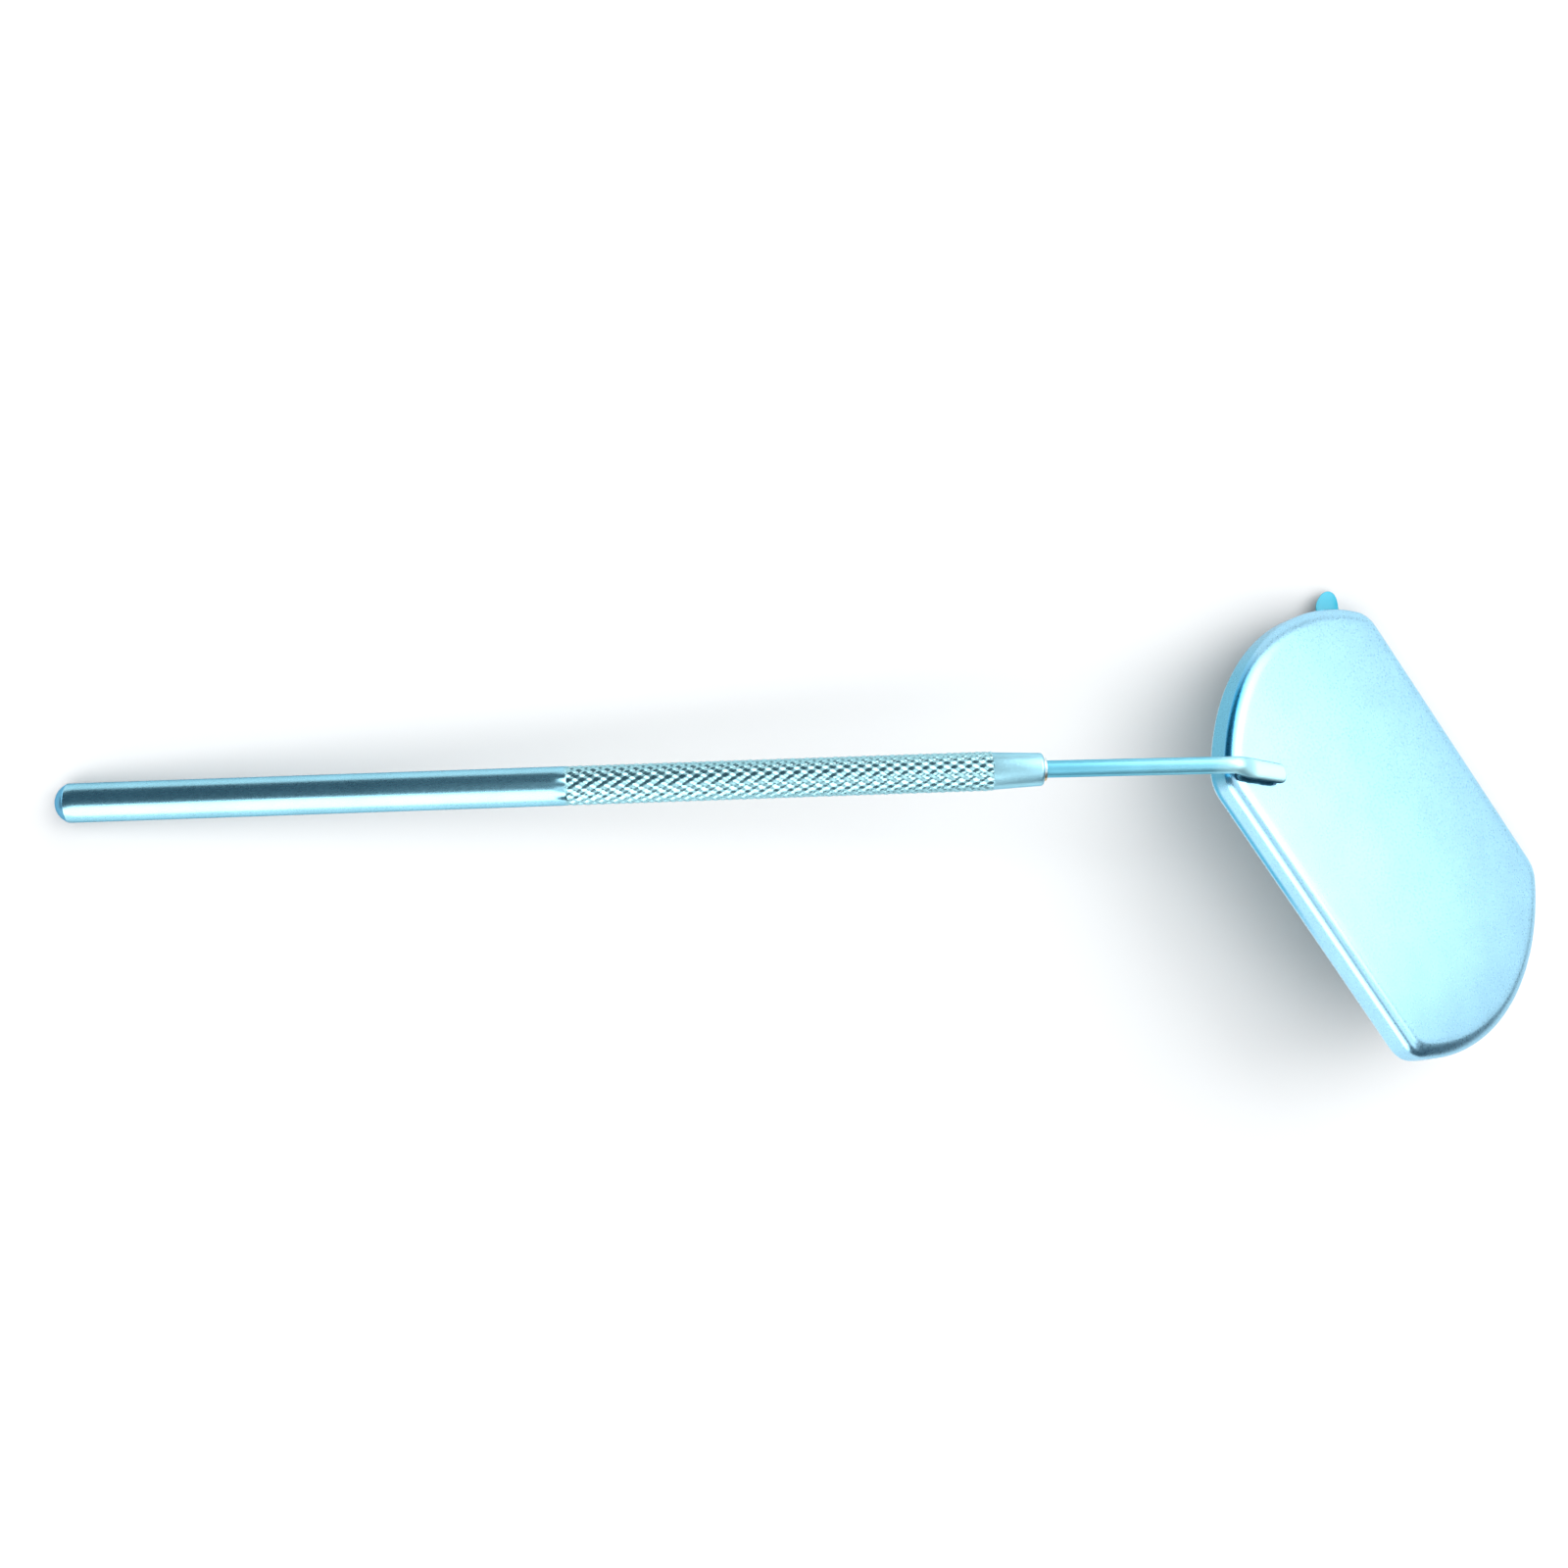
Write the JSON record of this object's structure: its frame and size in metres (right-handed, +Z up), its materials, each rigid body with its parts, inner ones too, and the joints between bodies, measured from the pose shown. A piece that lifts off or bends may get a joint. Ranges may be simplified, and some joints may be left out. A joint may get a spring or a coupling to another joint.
{
  "type": "mouth mirror",
  "caption": "Hand mirror with a knurled hollow handle, a bent screw-in stem and a flat barrel-shaped head with a film-covered mirror.",
  "frame": {"origin": "centre of the footprint at table height, with the mirror lying on its handle's free end and one long edge of the head", "axes": "+X from the handle's free end towards the head, seen from above; +Z up; the head's back faces up and the mirror faces down"},
  "size_m": [0.2032, 0.0636, 0.027],
  "materials": {
    "handle": "satin ice-blue metallic coat on the turned and knurled tube",
    "end_cap": "satin ice-blue metallic coat",
    "nose": "matt pale blue-grey metallic coat, turned",
    "ring": "plain turned brass",
    "stem": "glossy cyan-blue metallic coat on a drawn wire",
    "braze": "filler metal under the same coat",
    "shell": "satin pale ice-blue metallic coat on pressed sheet",
    "glass": "clear float glass, ground edge",
    "silver": "silvered",
    "backing_paint": "grey backing paint",
    "adhesive": "white closed-cell foam tape",
    "film": "thin clear blue peel-off film"
  },
  "bodies": {
    "handle": {"handle_tube": "handle", "end_cap": "end_cap", "nose_bush": "nose"},
    "neck_ring": {"neck_ring": "ring"},
    "mirror_head": {"mirror_stem": "stem", "braze_pad": "braze", "back_shell": "shell", "adhesive_pad": "adhesive", "backing_paint": "backing_paint", "silver_layer": "silver", "mirror_glass": "glass"},
    "protective_film": {"protective_film": "film"}
  },
  "joints": [
    {"name": "thread_advance", "type": "slide", "parent": "handle", "child": "neck_ring", "axis": [0.9875, 0, 0.1578], "range_m": [0, 0.00541]},
    {"name": "head_unscrew", "type": "hinge", "parent": "neck_ring", "child": "mirror_head", "pos_m": [0.02247, 0.0098, 0.02202], "axis": [0.9875, 0, 0.1578], "range_deg": [0, 4320]},
    {"name": "film_lift", "type": "slide", "parent": "mirror_head", "child": "protective_film", "axis": [-0.4214, -0.2858, -0.8607], "range_m": [0, 0.025]}
  ],
  "couplings": [
    {"joint": "thread_advance", "follows": "head_unscrew", "m_per_rad": 0.00007162}
  ]
}
